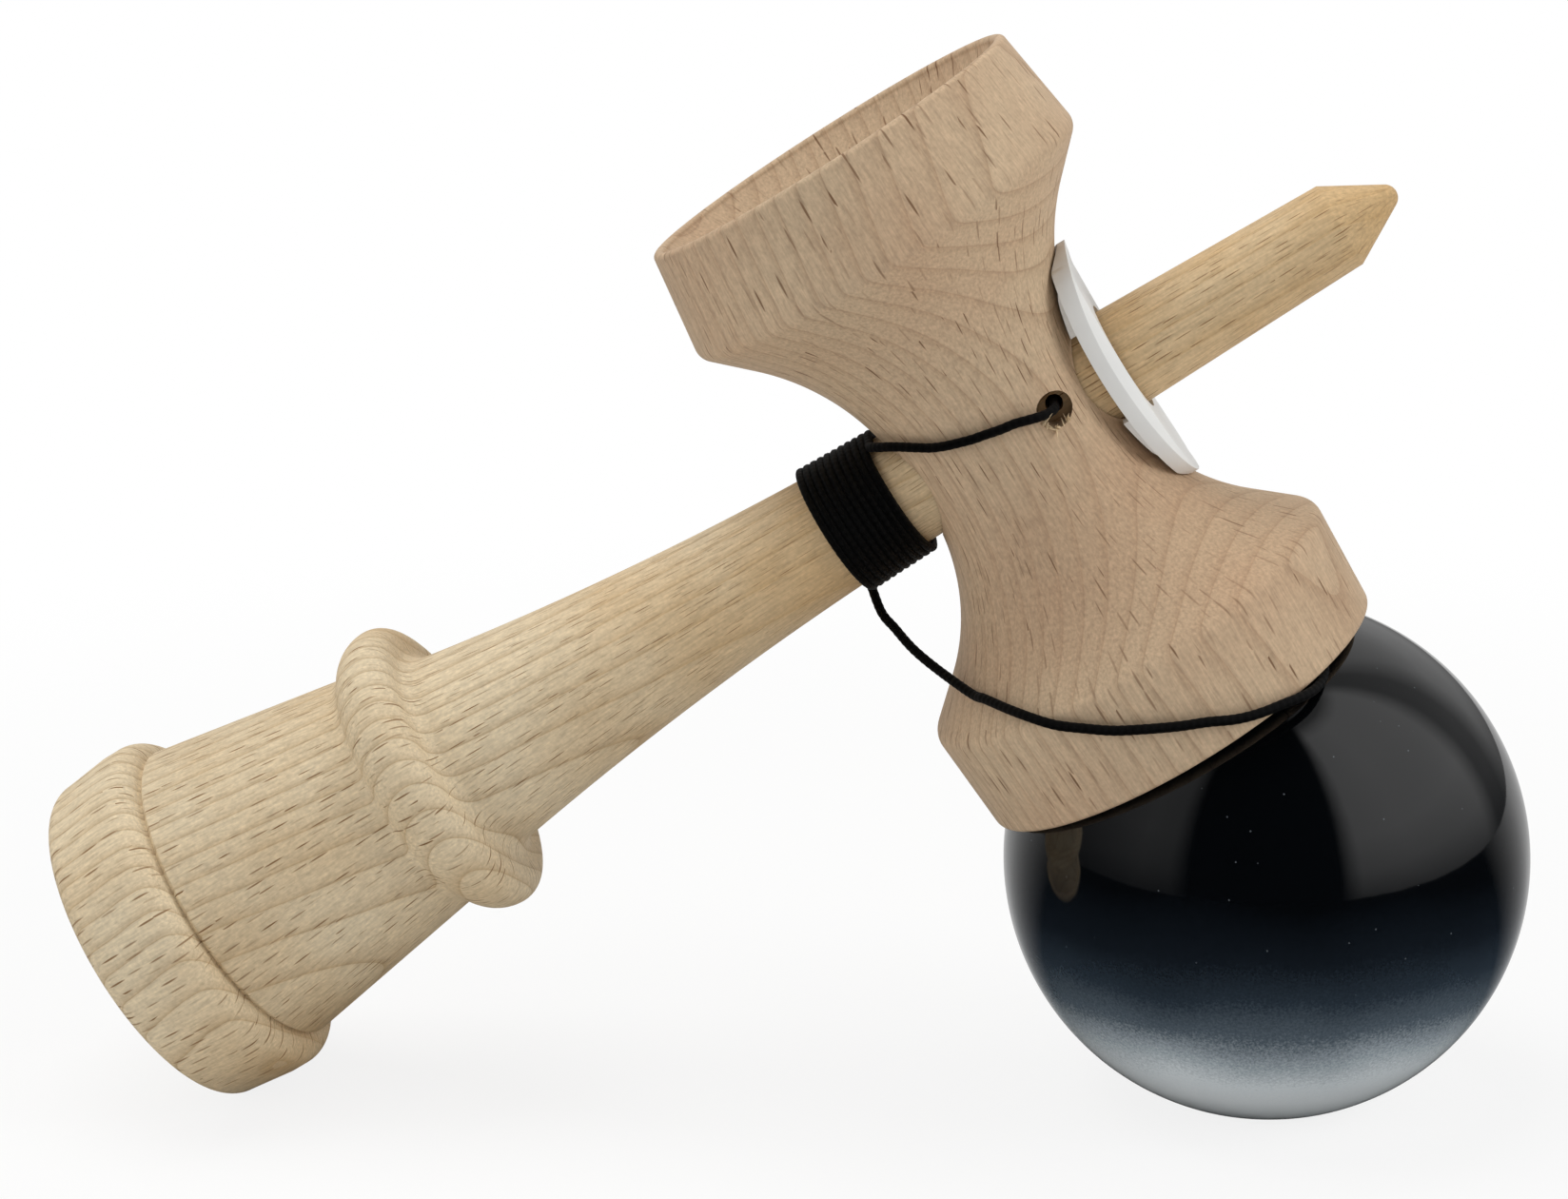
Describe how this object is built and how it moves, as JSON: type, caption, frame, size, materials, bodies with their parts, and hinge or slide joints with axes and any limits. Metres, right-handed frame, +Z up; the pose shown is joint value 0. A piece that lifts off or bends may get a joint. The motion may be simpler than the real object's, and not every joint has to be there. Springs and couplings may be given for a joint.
{
  "type": "cup and ball toy",
  "caption": "Turned wooden cup-and-ball toy: spiked handle with a hollow base, cupped cross piece and a lacquered ball tied on with cord.",
  "frame": {"origin": "on the table under the middle of the resting toy's outline, cord left out", "axes": "+X along the toy from the handle's lower end towards the spike, +Z up from the table, -Y the side with the string hole"},
  "size_m": [0.1704, 0.06, 0.1218],
  "materials": {
    "beech": "matt, sanded bare beech",
    "pink_beech": "matt, sanded bare beech, a little pinker",
    "white_plastic": "satin moulded plastic",
    "black_lacquer": "high gloss lacquer, black fading to white underneath",
    "pale_wood": "bare turned wood",
    "black_cord": "braided synthetic cord"
  },
  "bodies": {
    "ball": {"ball": "black_lacquer"},
    "swivel": {"bead": "pale_wood", "bead_knot": "black_cord", "string_inner": "black_cord"},
    "handle": {"handle": "beech", "cross_piece": "pink_beech", "handle_knot": "black_cord", "string_lead": "black_cord", "string_winding": "black_cord", "string_tail": "black_cord"},
    "plate": {"saddle_plate": "white_plastic"}
  },
  "joints": [
    {"name": "string_swivel", "type": "hinge", "parent": "ball", "child": "swivel", "pos_m": [0.05521, 0, 0.02758], "axis": [0, 0, 1], "continuous": true},
    {"name": "handle_lift", "type": "slide", "parent": "swivel", "child": "handle", "axis": [-0.5179, 0, 0.8555], "range_m": [0, 0.03], "deforming": ["string_tail"]},
    {"name": "plate_slide", "type": "slide", "parent": "handle", "child": "plate", "axis": [0.8555, 0, 0.5179], "range_m": [0, 0.03]}
  ]
}
